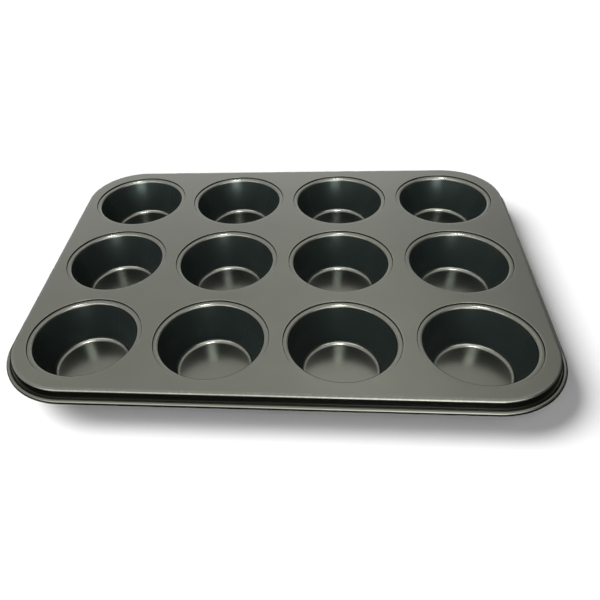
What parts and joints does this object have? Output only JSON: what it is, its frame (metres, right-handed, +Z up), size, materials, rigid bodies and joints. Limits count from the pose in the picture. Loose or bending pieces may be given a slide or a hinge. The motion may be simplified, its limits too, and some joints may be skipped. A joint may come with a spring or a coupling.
{
  "type": "muffin tin",
  "caption": "Rectangular coated-steel muffin tin: round tapered cups set in a flat deck with large rounded corners, a short skirt and a wire-filled rolled rim.",
  "frame": {"origin": "middle of the tin in plan, on the surface that the cup floors stand on", "axes": "+X along the long side to the right, +Y from the front long side to the back, +Z up out of the cups"},
  "size_m": [0.3578, 0.2738, 0.0292],
  "materials": {
    "plate_coating": "dark grey non-stick coating on steel, semi-gloss with a fine grain",
    "cup_coating": "dark grey non-stick coating on steel, semi-gloss, near black on the steep walls",
    "wire_steel": "plain drawn steel wire"
  },
  "bodies": {
    "root": {"frame_plate": "plate_coating", "cup_front_1": "cup_coating", "cup_front_2": "cup_coating", "cup_front_3": "cup_coating", "cup_front_4": "cup_coating", "cup_middle_1": "cup_coating", "cup_middle_2": "cup_coating", "cup_middle_3": "cup_coating", "cup_middle_4": "cup_coating", "cup_back_1": "cup_coating", "cup_back_2": "cup_coating", "cup_back_3": "cup_coating", "cup_back_4": "cup_coating", "rim_wire": "wire_steel"}
  },
  "joints": []
}
